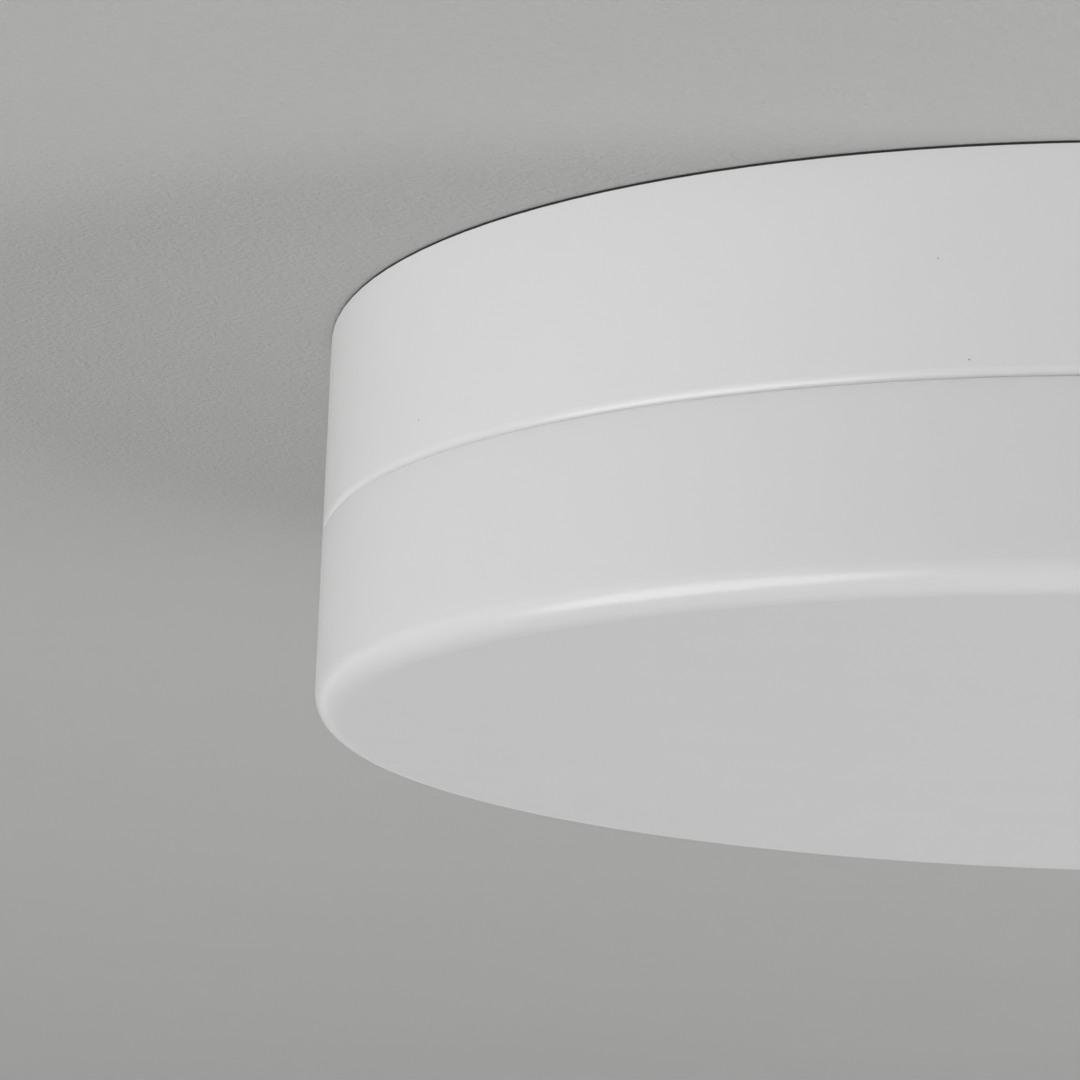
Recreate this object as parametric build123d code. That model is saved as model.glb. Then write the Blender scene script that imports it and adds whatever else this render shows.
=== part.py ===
"""Round flush mount ceiling light, in millimetres.

The ceiling is the plane z = 0, the origin is the middle of the fixing pattern on it, and the
light hangs below, towards -Z. A moulded housing is screwed to the ceiling. It carries the
supply terminal block, the driver and a metal tray with the light-emitting board. An opal
diffuser of the same outer radius pushes up into the housing and is held by three leaf springs.
"""
from build123d import *
from math import atan2, cos, degrees, pi, radians, sin, tan
import os

# ---------------------------------------------------------------- driving dimensions
# the two bands that show
outer_radius = 110.0
total_height = 52.0
seam_depth = 27.5
ceiling_gap = 0.25
seam_gap = 0.03

# clearances shared by all fits
face_gap = 0.3
fit_gap = 0.1
loose_gap = 0.6

# housing moulding
housing_wall = 2.4
housing_back = 2.4
housing_corner = 2.0
lip_radius = 1.5
lip_sweep = 56.0
back_edge_radius = 0.12
gusset_count = 12
gusset_reach = 5.0
gusset_height = 9.0
gusset_thickness = 1.6
boss_radius = 4.0
small_boss_radius = 3.6
boss_web_thickness = 2.0
standoff = 2.4
floor_skin = 1.0

# fixing slots in the housing's back
slot_spacing = 79.4
slot_length = 15.0
slot_width = 5.0
pad_margin = 4.0
pad_depth = 1.4

# foam seal against the ceiling
gasket_inset = 9.5
gasket_width = 6.0
gasket_depth = 2.0
channel_wall = 1.6

# cable entry in the middle
collar_radius = 15.0
collar_depth = 3.2
entry_radius = 10.0
cable_radius = 4.0
grommet_flange = 2.6
grommet_flange_thickness = 1.4
grommet_wall = 1.4
grommet_nose_length = 4.0
grommet_sleeve_length = 3.0

# diffuser moulding
diffuser_wall = 2.4
diffuser_floor = 2.2
diffuser_edge_radius = 3.6
diffuser_top_edge_radius = 0.25
shoulder_width = 4.6
shoulder_thickness = 2.2
neck_wall = 2.2
neck_height = 8.6
bead_reach = 1.4
bead_height = 2.0
bead_edge_radius = 0.6
seal_height = 3.4
seal_crest_radius = 0.4
ledge_height = 2.0

# leaf springs that hold the diffuser
catch_count = 3
catch_first_angle = 90.0
catch_width = 9.0
catch_thickness = 0.5
catch_foot_length = 12.0
catch_foot_to_bead = 4.9
catch_reach_below_bead = 3.0
catch_tail_length = 4.0
catch_tail_turn = 36.0
catch_foot_bend = 1.4
catch_tip_bend = 1.0
catch_boss_size = 12.0

# metal tray and its screws
tray_to_bead = 7.8
tray_below_driver = 1.2
tray_thickness = 1.2
tray_rim_height = 4.0
tray_rim_to_screws = 1.5
tray_corner = 1.6
tray_window_radius = 38.0
access_margin = 2.0
tray_screw_inset = 8.0
tray_screw_count = 4
tray_screw_first_angle = 45.0
bush_height = 1.6
bush_wall = 1.1

# light-emitting board
board_margin = 3.8
board_to_screw_heads = 2.2
board_thickness = 1.0
board_screw_count = 3
board_screw_first_angle = 30.0
ring_inset = 7.0
inner_ring_count = 12
inner_ring_first_angle = 20.0
outer_ring_inset = 5.0
outer_ring_count = 24
outer_ring_first_angle = 7.5
package_length = 3.5
package_width = 2.8
package_height = 0.8
package_corner = 0.3
window_radius = 1.1
window_depth = 0.3

# plug-in connector on the board
connector_angle = 35.0
connector_inset = 5.5
connector_length = 8.0
connector_width = 7.0
connector_height = 4.2
connector_pitch = 2.2
connector_insertion = 2.0
connector_corner = 0.4
connector_latch_length = 2.0
connector_latch_width = 3.5

# screws: thread radius, head radius, head height
screw_radius = 1.45
screw_head_radius = 2.8
screw_head_height = 2.0
screw_length = 6.0
board_thread_radius = 1.2
board_head_radius = 2.3
board_head_height = 1.5
recess_width = 0.7
recess_share_of_head = 0.6

# driver box
driver_length = 78.0
driver_width = 34.0
driver_wall = 1.6
driver_near_side = 35.0
driver_corner = 2.0
driver_foot_length = 10.0
driver_foot_width = 12.0
driver_foot_thickness = 3.0
driver_lid_lip = 2.0
driver_lid_clearance = 0.8
driver_board_thickness = 1.6
driver_board_lift = 1.6
driver_post_size = 3.0

# parts on the driver's board: their own sizes, then X from an end wall or from the middle of the
# driver and Y from its middle
transformer_length = 15.0
transformer_width = 13.4
transformer_height = 8.4
transformer_place = (7.0, 3.0)
core_leg = 3.4
core_width = 6.8
bulk_radius = 4.0
bulk_length = 14.0
bulk_from_input = 26.0
bulk_y = -7.0
output_radius = 3.4
output_length = 11.0
output_from_output_end = 13.0
output_y = -6.0
film_length = 12.0
film_width = 5.0
film_height = 8.0
film_from_input = 12.0
film_y = 7.0
part_edge_radius = 0.5
choke_radius = 4.2
choke_height = 7.0
choke_flange = 1.2
choke_from_input = 10.0
choke_y = -6.0
rectifier_size = (5.0, 4.0, 1.6)
rectifier_place = (-14.0, 7.0)
controller_size = (5.0, 4.0, 1.5)
controller_place = (2.0, -10.5)
diode_size = (4.6, 2.6, 2.2)
diode_place = (22.0, 8.0)
resistor_size = (6.4, 3.2, 0.6)
resistor_place = (29.0, 8.0)

# supply terminal block
terminal_width = 26.0
terminal_length = 22.0
terminal_height = 14.0
terminal_wall = 2.0
terminal_to_collar = 1.0
terminal_edge = 0.6
ear_length = 8.0
ear_width = 8.0
ear_thickness = 3.0
pole_offset = 6.5
pole_width = 9.0
port_radius = 1.7
port_chamfer = 0.6
port_offset = -1.3
contact_width = 5.2
contact_thickness = 1.0
contact_length = 12.0
clamp_thickness = 0.4
clamp_bend = 1.3
clamp_back_height = 3.1
clamp_side_gap = 0.2

# release buttons of the terminal block
button_travel = 1.5
button_stem_width = 2.2
button_stem_length = 3.6
button_offset = 3.0
button_from_back = 6.8
button_flange = 0.8
button_flange_thickness = 0.8
button_head_width = 4.4
button_head_length = 5.4
button_head_thickness = 1.8
button_slot_width = 0.8
button_slot_depth = 0.7
button_edge = 0.3

# insulated leads
mains_lead_radius = 1.15
low_voltage_lead_radius = 0.8
bend_share = 0.45
lead_insertion = 1.4
lead_spacing = 4.2
lead_level = 5.0
lead_first_run = 9.0
lead_side_step = 14.0
lead_turn_in = 31.0
lead_loop_to_screws = 14.0
lead_loop_angles = (243.0, 222.0, 203.0, 182.0, 163.0, 146.0)
lead_last_run = 12.0
lead_dip = 2.5
low_voltage_first_run = 10.0
low_voltage_side_step = 4.0
low_voltage_approach = (9.0, 3.5)
low_voltage_drop = 2.5
live_port_shift = -1.0
neutral_port_shift = -6.0
low_voltage_port_shift = -4.0
guide_thickness = 1.2
guide_length = 5.0
tray_hole_radius = 3.6
tray_hole_inset = 7.0
tray_grommet_flange = 1.2
tray_grommet_flange_thickness = 0.8
tray_grommet_bore = 2.3

# ---------------------------------------------------------------- heights worked out from them
back_outside = -ceiling_gap
back_inside = back_outside - housing_back
housing_inner = outer_radius - housing_wall
housing_lip = -(seam_depth - seam_gap / 2)
shoulder_top = -(seam_depth + seam_gap / 2)
diffuser_bottom = -total_height
neck_outer = outer_radius - shoulder_width
neck_inner = neck_outer - neck_wall
neck_top = shoulder_top + neck_height
bead_inner = neck_inner - bead_reach
bead_bottom = neck_top - bead_height
mounted_face = back_inside - standoff
tallest_part = max(transformer_height, 2 * bulk_radius, 2 * output_radius, film_height, choke_height)
driver_board_height = driver_wall + driver_board_lift + driver_board_thickness
driver_height = driver_board_height + tallest_part + driver_lid_clearance + driver_wall
driver_bottom = mounted_face - driver_height
driver_rim = mounted_face - driver_wall
driver_board_top = driver_bottom + driver_board_height
driver_lead_height = (driver_rim + driver_board_top) / 2
driver_centre_y = driver_near_side + driver_width / 2
tray_top = driver_bottom - tray_below_driver
tray_bottom = tray_top - tray_thickness
board_face = tray_bottom - board_thickness
catch_height = tray_top + tray_rim_height + tray_rim_to_screws + screw_head_height + catch_thickness
catch_seat = catch_height + catch_thickness / 2
gasket_radius = outer_radius - gasket_inset
tray_radius = bead_inner - tray_to_bead
tray_screw_radius = tray_radius - tray_screw_inset
access_length = slot_length + 2 * access_margin
access_width = slot_width + 2 * access_margin + boss_web_thickness
board_inner = (slot_spacing + access_length) / 2 + board_margin
board_outer = tray_screw_radius - screw_head_radius - board_to_screw_heads
board_screw_radius = (board_inner + board_outer) / 2 + screw_radius
inner_ring_radius = board_inner + ring_inset
outer_ring_radius = board_outer - outer_ring_inset
connector_radius = board_inner + connector_inset
tray_hole_from_middle = board_inner - tray_hole_inset
terminal_centre_y = -(collar_radius + terminal_to_collar + terminal_length / 2)
terminal_bottom = mounted_face - terminal_height
terminal_back = terminal_centre_y - terminal_length / 2
terminal_front = terminal_centre_y + terminal_length / 2
cavity_roof = mounted_face - terminal_wall
cavity_floor = terminal_bottom + terminal_wall
cavity_back = terminal_back + terminal_wall
cavity_front = terminal_front - 2 * terminal_wall
contact_top = cavity_floor + contact_thickness
port_height = contact_top + port_radius
button_middle_y = terminal_back + button_from_back
pole_places = {"live": pole_offset, "neutral": -pole_offset}
same = 0.01


# ---------------------------------------------------------------- shapes used again and again
def disc(radius, bottom, top, place=(0.0, 0.0)):
    """Upright cylinder between two heights."""
    low = (Align.CENTER, Align.CENTER, Align.MIN)
    return Pos(place[0], place[1], bottom) * Cylinder(radius, top - bottom, align=low)


def ring(inner, outer, bottom, top, place=(0.0, 0.0)):
    """Upright tube between two heights."""
    return disc(outer, bottom, top, place) - disc(inner, bottom, top, place)


def block(size_x, size_y, bottom, top, place=(0.0, 0.0)):
    """Upright box between two heights."""
    low = (Align.CENTER, Align.CENTER, Align.MIN)
    return Pos(place[0], place[1], bottom) * Box(size_x, size_y, top - bottom, align=low)


def obround(length, width, bottom, top, place=(0.0, 0.0)):
    """Upright round-ended bar that runs along X."""
    return Pos(place[0], place[1], bottom) * extrude(SlotOverall(length, width), top - bottom)


def around(count, first_angle):
    """The angles of a pattern spread evenly round the middle."""
    return [first_angle + 360.0 * step / count for step in range(count)]


def at_angle(radius, angle):
    """A place on the plan from its radius and angle."""
    return (radius * cos(radians(angle)), radius * sin(radians(angle)))


def rims(solid, radius, height):
    """The round edges of a turned solid at one radius and height."""
    circles = solid.edges().filter_by(GeomType.CIRCLE)
    near = [e for e in circles if abs(e.radius - radius) < same]
    return [e for e in near if abs(e.center().Z - height) < same]


def solids_of(pieces):
    """One compound that keeps each piece as a separate solid."""
    return Compound(children=[solid for piece in pieces for solid in piece.solids()])


def pan_screw(place, seat, length, sizes=(screw_radius, screw_head_radius, screw_head_height)):
    """Pan-head screw whose head lies under the seat and whose thread points up."""
    thread, head, height = sizes
    body = disc(head, seat - height, seat, place)
    body = fillet(rims(body, head, seat - height), height * recess_share_of_head)
    body += disc(thread, seat, seat + length, place)
    arm = head * 2 * recess_share_of_head
    depth = seat - height * (1 - recess_share_of_head)
    cross = block(arm, recess_width, seat - height, depth, place)
    cross += block(recess_width, arm, seat - height, depth, place)
    return body - cross


def polygon_radii(points):
    """The largest tangent arc that each corner of a route leaves room for."""
    corners = [Vector(*point) for point in points]
    radii = []
    for before, corner, after in zip(corners, corners[1:], corners[2:]):
        run_in = corner - before
        run_out = after - corner
        half_turn = radians(run_in.get_angle(run_out)) / 2
        radii.append(bend_share * min(run_in.length, run_out.length) / tan(half_turn))
    return radii


def lead(name, points, radius):
    """Insulated wire along straight runs joined by tangent arcs."""
    radii = polygon_radii(points)
    path = FilletPolyline(*points, radius=radii)
    start = Plane(origin=path @ 0, z_dir=path % 0)
    wire = sweep(start * Circle(radius), path=path)
    share = wire.volume / (pi * radius ** 2 * path.length)
    listed = ", ".join(f"{value:.1f}" for value in radii)
    print(f"{name}: length {path.length:.1f}, volume share {share:.4f}, radii {listed}")
    return wire


# ---------------------------------------------------------------- places shared by neighbours
def fixing_places():
    """The middles of the two slots."""
    return [(-slot_spacing / 2, 0.0), (slot_spacing / 2, 0.0)]


def driver_screw_places():
    """The screws through the driver's two feet."""
    reach = driver_length / 2 + driver_foot_length / 2
    return [(-reach, driver_centre_y), (reach, driver_centre_y)]


def terminal_screw_places():
    """The screws through the terminal block's two ears."""
    reach = terminal_width / 2 + ear_length / 2
    return [(-reach, terminal_centre_y), (reach, terminal_centre_y)]


def tray_screw_places():
    """The screws through the tray's edge."""
    return [at_angle(tray_screw_radius, a) for a in around(tray_screw_count, tray_screw_first_angle)]


def board_screw_places():
    """The screws through the light-emitting board."""
    return [at_angle(board_screw_radius, a) for a in around(board_screw_count, board_screw_first_angle)]


def catch_outline():
    """Radius and height of each corner of a leaf spring's middle line."""
    foot = catch_height
    tip_height = bead_bottom - catch_reach_below_bead
    tip_radius = neck_inner - face_gap - catch_thickness / 2
    outer_foot = bead_inner - catch_foot_to_bead
    inner_foot = outer_foot - catch_foot_length
    tail_radius = tip_radius - catch_tail_length * sin(radians(catch_tail_turn))
    tail_height = tip_height - catch_tail_length * cos(radians(catch_tail_turn))
    return [(inner_foot, foot), (outer_foot, foot), (tip_radius, tip_height), (tail_radius, tail_height)]


def catch_screw_radius():
    """Where the screw of a leaf spring stands, from the middle of the light."""
    corners = catch_outline()
    return (corners[0][0] + corners[1][0]) / 2


def pole_port(pole):
    """The X of the wire port of one pole."""
    return pole_places[pole] + port_offset


def driver_port(pole):
    """The Y of the supply port of one pole in the driver's end wall."""
    return driver_centre_y + (live_port_shift if pole == "live" else neutral_port_shift)


def low_voltage_port(side):
    """The Y and height of a low-voltage port in the driver's other end wall."""
    return driver_centre_y + low_voltage_port_shift, driver_lead_height + side * connector_pitch / 2


def mains_loop(pole):
    """The corners of a supply lead where it goes round near the pillars."""
    inward = 0.0 if pole == "live" else lead_spacing
    radius = tray_screw_radius - lead_loop_to_screws - inward
    level = back_inside - lead_level
    return [(*at_angle(radius, angle), level) for angle in lead_loop_angles]


def mains_route(pole):
    """The corners of a supply lead from the terminal block round to the driver's end."""
    inward = 0.0 if pole == "live" else lead_spacing
    x = pole_port(pole)
    y = driver_port(pole)
    out = terminal_back - lead_first_run + inward / 2
    low = back_inside - lead_level - lead_dip
    end = -driver_length / 2
    return [
        (x, terminal_back + lead_insertion, port_height),
        (x, out, port_height),
        (x - lead_side_step + inward / 2, terminal_centre_y - lead_turn_in + inward, low),
        *mains_loop(pole),
        (end - lead_last_run + inward / 2, y, driver_lead_height),
        (end + lead_insertion, y, driver_lead_height),
    ]


def tray_hole_place():
    """Where the low-voltage leads pass through the tray."""
    return at_angle(tray_hole_from_middle, connector_angle)


def low_voltage_route(side):
    """The corners of a lead from the driver's end through the tray to the board's connector."""
    along = Vector(*at_angle(1.0, connector_angle))
    across = Vector(*at_angle(1.0, connector_angle + 90.0))
    shift = across * (side * connector_pitch / 2)
    hole = Vector(*tray_hole_place()) + shift
    entry = along * (connector_radius - connector_length / 2 + connector_insertion) + shift
    row_y, level = low_voltage_port(side)
    plug = board_face - connector_height / 2
    start = driver_length / 2 - lead_insertion
    turn_x = driver_length / 2 + low_voltage_first_run
    return [
        (start, row_y, level),
        (turn_x, row_y, level),
        (turn_x + low_voltage_side_step, row_y - low_voltage_first_run, level),
        (hole.X + low_voltage_approach[0], hole.Y + low_voltage_approach[1], level - face_gap),
        (hole.X, hole.Y, level - low_voltage_drop),
        (hole.X, hole.Y, plug),
        (entry.X, entry.Y, plug),
    ]


# ---------------------------------------------------------------- housing and ceiling side
def housing_shell():
    """The drawn-in pan with its rounded lip, whose round stops short at the joint."""
    full_round = housing_lip - lip_radius * (1 - sin(radians(lip_sweep)))
    shell = disc(outer_radius, full_round, back_outside)
    shell -= disc(housing_inner, full_round, back_inside)
    shell = fillet(rims(shell, outer_radius, full_round), lip_radius)
    shell -= disc(outer_radius, full_round, housing_lip)
    shell = fillet(rims(shell, outer_radius, back_outside), back_edge_radius)
    return fillet(rims(shell, housing_inner, back_inside), housing_corner)


def gasket_channel():
    """Inside and outside radius of the channel that the foam ring lies in."""
    half = gasket_width / 2 + face_gap
    return gasket_radius - half, gasket_radius + half


def gussets():
    """Small ribs in the corner between the back and the wall."""
    pieces = []
    for angle in around(gusset_count, 360.0 / gusset_count / 2):
        outline = Polyline(
            (housing_inner - gusset_reach, back_inside),
            (housing_inner + housing_wall / 2, back_inside),
            (housing_inner + housing_wall / 2, back_inside - gusset_height),
            (housing_inner, back_inside - gusset_height),
            close=True,
        )
        rib = extrude(Plane.XZ * make_face(outline), gusset_thickness / 2, both=True)
        pieces.append(Rot(0, 0, angle) * rib)
    return pieces


def tray_bosses():
    """Round pillars for the tray, each with a web to the wall."""
    pieces = []
    web_length = housing_inner + housing_wall / 2 - tray_screw_radius
    web_low = tray_top + tray_rim_height + boss_radius
    web = block(web_length, boss_web_thickness, web_low, back_inside)
    for angle in around(tray_screw_count, tray_screw_first_angle):
        pieces.append(disc(boss_radius, tray_top, back_inside, at_angle(tray_screw_radius, angle)))
        pieces.append(Rot(0, 0, angle) * Pos(tray_screw_radius + web_length / 2, 0, 0) * web)
    return pieces


def catch_bosses():
    """Square pillars that the leaf springs are screwed to."""
    pieces = []
    for angle in around(catch_count, catch_first_angle):
        pillar = block(catch_boss_size, catch_boss_size, catch_seat, back_inside, (catch_screw_radius(), 0.0))
        pieces.append(Rot(0, 0, angle) * pillar)
    return pieces


def lead_guides():
    """Pairs of fins that hold the supply leads down on the housing's floor."""
    pieces = []
    for pole in pole_places:
        corners = [Vector(*point) for point in mains_loop(pole)]
        for run in range(1, len(corners) - 1, 2):
            middle = (corners[run] + corners[run + 1]) * 0.5
            heading = corners[run + 1] - corners[run]
            turn = degrees(atan2(-heading.X, heading.Y))
            offset = mains_lead_radius + face_gap + guide_thickness / 2
            tip = middle.Z - mains_lead_radius
            for side in (-offset, offset):
                fin = block(guide_thickness, guide_length, tip, back_inside, (side, 0.0))
                pieces.append(Pos(middle.X, middle.Y, 0) * Rot(0, 0, turn) * fin)
    return pieces


def make_housing():
    """Moulded pan that is screwed to the ceiling and carries everything."""
    body = housing_shell()
    channel_in, channel_out = gasket_channel()
    floor = -gasket_depth
    body += ring(channel_in - channel_wall, channel_out + channel_wall, floor - channel_wall, back_inside)
    body -= ring(channel_in, channel_out, floor, back_outside)
    ledge_top = shoulder_top + seal_height + face_gap + ledge_height
    body += ring(neck_outer + loose_gap, housing_inner + same, ledge_top - ledge_height, ledge_top)
    for piece in gussets() + tray_bosses() + catch_bosses() + lead_guides():
        body += piece
    for place in driver_screw_places() + terminal_screw_places():
        body += disc(small_boss_radius, mounted_face, back_inside, place)
    body += disc(collar_radius, back_inside - collar_depth, 0.0)
    for place in fixing_places():
        pad = slot_length + 2 * pad_margin
        body += obround(pad, slot_width + 2 * pad_margin, back_inside - pad_depth, 0.0, place)
    return drill_housing(body)


def drill_housing(body):
    """Cut the fixing slots, the cable entry and the screw holes."""
    for place in fixing_places():
        body -= obround(slot_length, slot_width, back_inside - pad_depth, 0.0, place)
    collar_bottom = back_inside - collar_depth
    body -= disc(entry_radius, collar_bottom, 0.0)
    recess = entry_radius + grommet_flange + face_gap
    body -= disc(recess, -(face_gap + grommet_flange_thickness + fit_gap), 0.0)
    pilot = screw_radius + fit_gap / 2
    for place in driver_screw_places() + terminal_screw_places():
        body -= disc(pilot, mounted_face, back_outside - floor_skin, place)
    for place in tray_screw_places():
        body -= disc(pilot, tray_top, tray_top + screw_length + loose_gap, place)
    for angle in around(catch_count, catch_first_angle):
        place = at_angle(catch_screw_radius(), angle)
        body -= disc(pilot, catch_seat, catch_seat + screw_length + loose_gap, place)
    return body


def make_ceiling_gasket():
    """Foam ring that fills the joint to the ceiling."""
    half = gasket_width / 2
    return ring(gasket_radius - half, gasket_radius + half, -gasket_depth, 0.0)


def make_cable_grommet():
    """Rubber grommet with a cone that narrows to the cable."""
    flange = entry_radius + grommet_flange
    neck = entry_radius - fit_gap
    top = -face_gap
    under_top_flange = top - grommet_flange_thickness
    collar_bottom = back_inside - collar_depth
    bottom = collar_bottom - grommet_flange_thickness
    nose = bottom - grommet_nose_length
    sleeve = nose - grommet_sleeve_length
    wall = grommet_wall
    outline = Polyline(
        (neck - wall, top),
        (flange, top),
        (flange, under_top_flange),
        (neck, under_top_flange),
        (neck, collar_bottom),
        (flange, collar_bottom),
        (flange, bottom),
        (neck, bottom),
        (cable_radius + wall, nose),
        (cable_radius + wall, sleeve),
        (cable_radius, sleeve),
        (cable_radius, nose),
        (neck - wall, bottom + wall),
        close=True,
    )
    return revolve(Plane.XZ * make_face(outline), Axis.Z)


# ---------------------------------------------------------------- diffuser and its catches
def make_diffuser():
    """Opal cup with a neck that goes up inside the housing."""
    inside = outer_radius - diffuser_wall
    floor = diffuser_bottom + diffuser_floor
    shoulder_bottom = shoulder_top - shoulder_thickness
    cup = disc(outer_radius, diffuser_bottom, shoulder_top)
    cup -= disc(inside, floor, shoulder_bottom)
    cup -= disc(neck_inner, shoulder_bottom, shoulder_top)
    cup = fillet(rims(cup, outer_radius, diffuser_bottom), diffuser_edge_radius)
    cup = fillet(rims(cup, inside, floor), diffuser_edge_radius - diffuser_wall)
    cup = fillet(rims(cup, outer_radius, shoulder_top), diffuser_top_edge_radius)
    neck = ring(neck_inner, neck_outer, shoulder_top, neck_top)
    bead = ring(bead_inner, neck_inner, bead_bottom, neck_top)
    cup += neck + bead
    for height in (bead_bottom, neck_top):
        cup = fillet(rims(cup, bead_inner, height), bead_edge_radius)
    return cup


def make_diffuser_seal():
    """Soft ring on the diffuser's shoulder, under the ledge in the housing."""
    inner = neck_outer + face_gap
    outer = housing_inner - loose_gap
    body = ring(inner, outer, shoulder_top, shoulder_top + seal_height)
    for radius in (inner, outer):
        body = fillet(rims(body, radius, shoulder_top + seal_height), seal_crest_radius)
    return body


def make_spring_catches():
    """Three bent leaf springs, apex outwards below the bead of the diffuser's neck."""
    line = FilletPolyline(*catch_outline(), radius=[catch_foot_bend, catch_tip_bend])
    strip = extrude(Plane.XZ * trace(line, catch_thickness), catch_width / 2, both=True)
    hole = disc(screw_radius + fit_gap, catch_height - catch_thickness, catch_height + catch_thickness)
    strip -= Pos(catch_screw_radius(), 0, 0) * hole
    return solids_of([Rot(0, 0, angle) * strip for angle in around(catch_count, catch_first_angle)])


def make_catch_screws():
    """One screw through the foot of each leaf spring."""
    seat = catch_height - catch_thickness / 2
    places = [at_angle(catch_screw_radius(), a) for a in around(catch_count, catch_first_angle)]
    return solids_of([pan_screw(place, seat, screw_length) for place in places])


# ---------------------------------------------------------------- tray and light-emitting board
def make_led_tray():
    """White metal tray with a rolled rim, a service window and access to the fixing slots."""
    outer = disc(tray_radius, tray_bottom, tray_top + tray_rim_height)
    outer = fillet(rims(outer, tray_radius, tray_bottom), tray_corner + tray_thickness)
    inner = disc(tray_radius - tray_thickness, tray_top, tray_top + tray_rim_height)
    inner = fillet(rims(inner, tray_radius - tray_thickness, tray_top), tray_corner)
    tray = outer - inner
    bush_radius = board_thread_radius + bush_wall
    for place in board_screw_places():
        tray += disc(bush_radius, tray_top, tray_top + bush_height, place)
        tray -= disc(board_thread_radius + fit_gap / 2, tray_bottom, tray_top + bush_height, place)
    tray -= disc(tray_window_radius, tray_bottom, tray_top)
    for place in fixing_places():
        tray -= obround(access_length, access_width, tray_bottom, tray_top, place)
    for place in tray_screw_places():
        tray -= disc(screw_radius + face_gap, tray_bottom, tray_top, place)
    return tray - disc(tray_hole_radius, tray_bottom, tray_top, tray_hole_place())


def make_tray_screws():
    """Screws that hold the tray up to the housing's pillars."""
    return solids_of([pan_screw(place, tray_bottom, screw_length) for place in tray_screw_places()])


def make_tray_grommet():
    """Soft ring that keeps the low-voltage leads off the edge of their hole."""
    place = tray_hole_place()
    flange = tray_hole_radius + tray_grommet_flange
    thickness = tray_grommet_flange_thickness
    body = disc(tray_hole_radius - fit_gap, tray_bottom - thickness, tray_top + thickness, place)
    body += disc(flange, tray_top, tray_top + thickness, place)
    body += disc(flange, tray_bottom - thickness, tray_bottom, place)
    return body - disc(tray_grommet_bore, tray_bottom - thickness, tray_top + thickness, place)


def make_led_board():
    """Ring-shaped board under the tray."""
    board = ring(board_inner, board_outer, board_face, tray_bottom)
    for place in board_screw_places():
        board -= disc(board_thread_radius + face_gap, board_face, tray_bottom, place)
    return board


def make_board_screws():
    """Screws that hold the board to the tray."""
    length = board_thickness + tray_thickness + bush_height
    sizes = (board_thread_radius, board_head_radius, board_head_height)
    return solids_of([pan_screw(place, board_face, length, sizes) for place in board_screw_places()])


def package_turns():
    """Radius and angle of each light-emitting package."""
    inner = [(inner_ring_radius, a) for a in around(inner_ring_count, inner_ring_first_angle)]
    outer = [(outer_ring_radius, a) for a in around(outer_ring_count, outer_ring_first_angle)]
    return inner + outer


def make_led_packages():
    """Small white packages, each with a round pocket for its window."""
    face = board_face - package_height
    package = block(package_width, package_length, face, board_face)
    package = fillet(package.edges().filter_by(Axis.Z), package_corner)
    package -= disc(window_radius, face, face + window_depth)
    return solids_of([Rot(0, 0, angle) * Pos(radius, 0, 0) * package for radius, angle in package_turns()])


def make_led_windows():
    """Pale yellow windows in the pockets of the packages."""
    face = board_face - package_height
    window = disc(window_radius - fit_gap / 2, face, face + window_depth)
    return solids_of([Rot(0, 0, angle) * Pos(radius, 0, 0) * window for radius, angle in package_turns()])


def make_board_connector():
    """Plug-in connector for the two low-voltage leads."""
    bottom = board_face - connector_height
    body = block(connector_length, connector_width, bottom, board_face)
    body = chamfer(body.edges().filter_by(Axis.Z), connector_corner)
    bore = low_voltage_lead_radius + fit_gap
    reach = connector_insertion + fit_gap
    for side in (-1, 1):
        hole = Rot(0, 90, 0) * Cylinder(bore, reach, align=(Align.CENTER, Align.CENTER, Align.MIN))
        body -= Pos(-connector_length / 2, side * connector_pitch / 2, bottom + connector_height / 2) * hole
    latch = block(connector_latch_length, connector_latch_width, bottom - face_gap, bottom)
    return Rot(0, 0, connector_angle) * Pos(connector_radius, 0, 0) * (body + latch)


# ---------------------------------------------------------------- driver
def driver_block(size_x, size_y, bottom, top, place=(0.0, 0.0)):
    """Box placed from the middle of the driver."""
    return block(size_x, size_y, bottom, top, (place[0], place[1] + driver_centre_y))


def make_driver_case():
    """Tub of the driver, open towards the ceiling, with a foot at each end."""
    case = driver_block(driver_length, driver_width, driver_bottom, driver_rim)
    case = fillet(case.edges().filter_by(Axis.Z), driver_corner)
    floor = driver_bottom + driver_wall
    case -= driver_block(driver_length - 2 * driver_wall, driver_width - 2 * driver_wall, floor, driver_rim)
    for x, y in driver_screw_places():
        foot_bottom = mounted_face - driver_foot_thickness
        case += block(driver_foot_length, driver_foot_width, foot_bottom, mounted_face, (x, y))
        case -= disc(screw_radius + face_gap, foot_bottom, mounted_face, (x, y))
    lid_length = driver_length + 2 * fit_gap
    case -= driver_block(lid_length, driver_width + 2 * fit_gap, driver_rim, mounted_face)
    for x, y in driver_board_corners():
        case += driver_block(driver_post_size, driver_post_size, floor, floor + driver_board_lift, (x, y))
    for pole in pole_places:
        case -= end_port(-1, driver_port(pole), driver_lead_height, mains_lead_radius)
    for side in (-1, 1):
        case -= end_port(1, *low_voltage_port(side), low_voltage_lead_radius)
    return case


def end_port(side, y, z, lead_radius):
    """Round hole through one end wall of the driver."""
    hole = Rot(0, 90, 0) * Cylinder(lead_radius + fit_gap, 2 * driver_wall + fit_gap)
    return Pos(side * driver_length / 2, y, z) * hole


def driver_board_corners():
    """The four posts that the driver's board rests on."""
    x = driver_length / 2 - driver_wall - driver_post_size / 2
    y = driver_width / 2 - driver_wall - driver_post_size / 2
    return [(-x, -y), (x, -y), (x, y), (-x, y)]


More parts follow.
